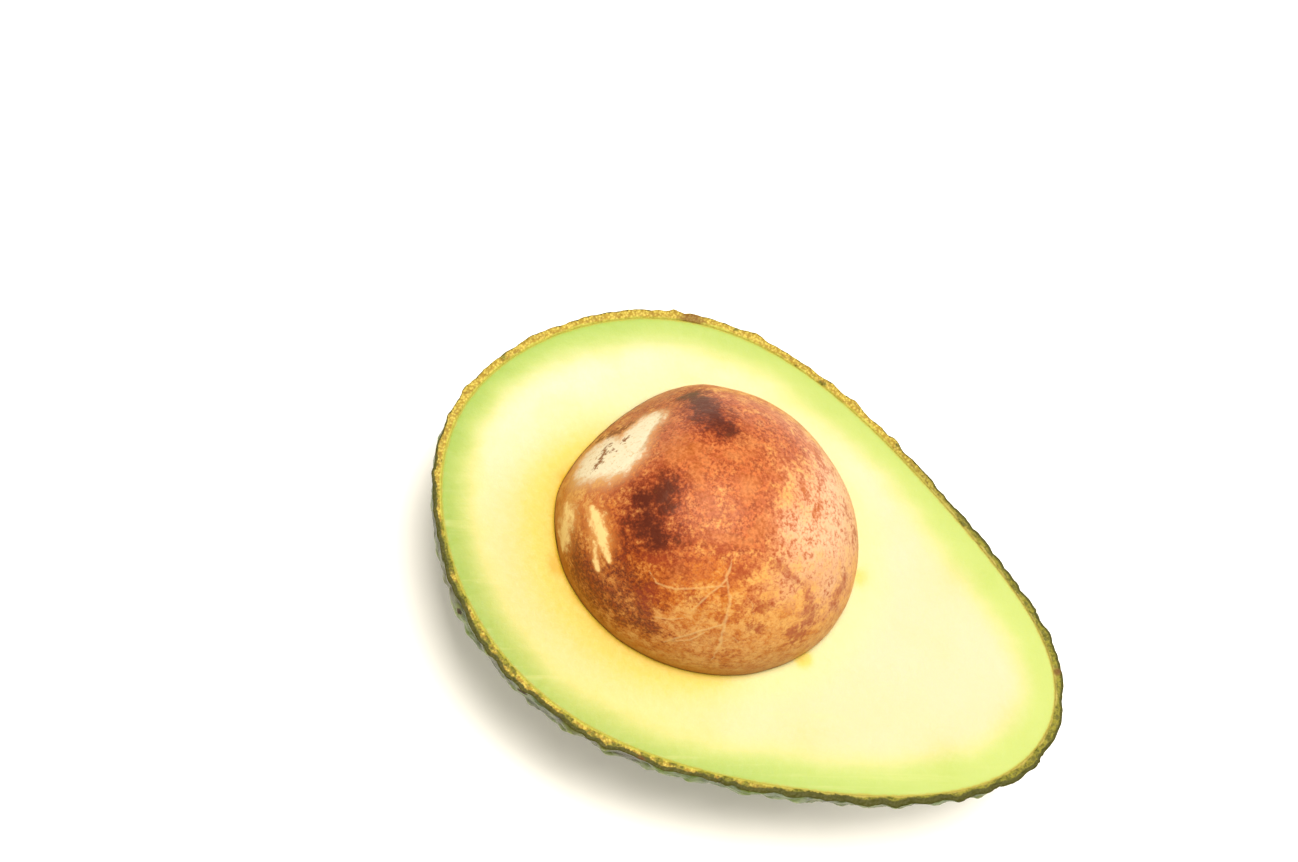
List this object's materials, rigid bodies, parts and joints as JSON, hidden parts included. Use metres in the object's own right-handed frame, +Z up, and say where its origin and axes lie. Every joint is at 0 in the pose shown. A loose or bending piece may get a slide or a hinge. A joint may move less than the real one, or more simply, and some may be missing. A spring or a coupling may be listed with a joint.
{
  "type": "halved avocado with seed",
  "caption": "Half an avocado cut lengthways, lying on its pebbled green skin, with a flat face of pale flesh and a round brown seed in its hollow.",
  "frame": {"origin": "middle of the small flat on the belly that the half rests on", "axes": "+X towards the stem end along the fruit, +Z up out of the cut face"},
  "size_m": [0.1054, 0.069, 0.0509],
  "materials": {
    "skin": "deep green leathery peel, pebbled, waxy sheen, brown corky specks",
    "flesh": "moist buttery flesh, cream yellow in the middle and leaf green under the skin",
    "seed": "mottled russet papery seed coat, smooth with a soft sheen"
  },
  "bodies": {
    "root": {"skin": "skin", "flesh": "flesh", "seed": "seed"}
  },
  "joints": []
}
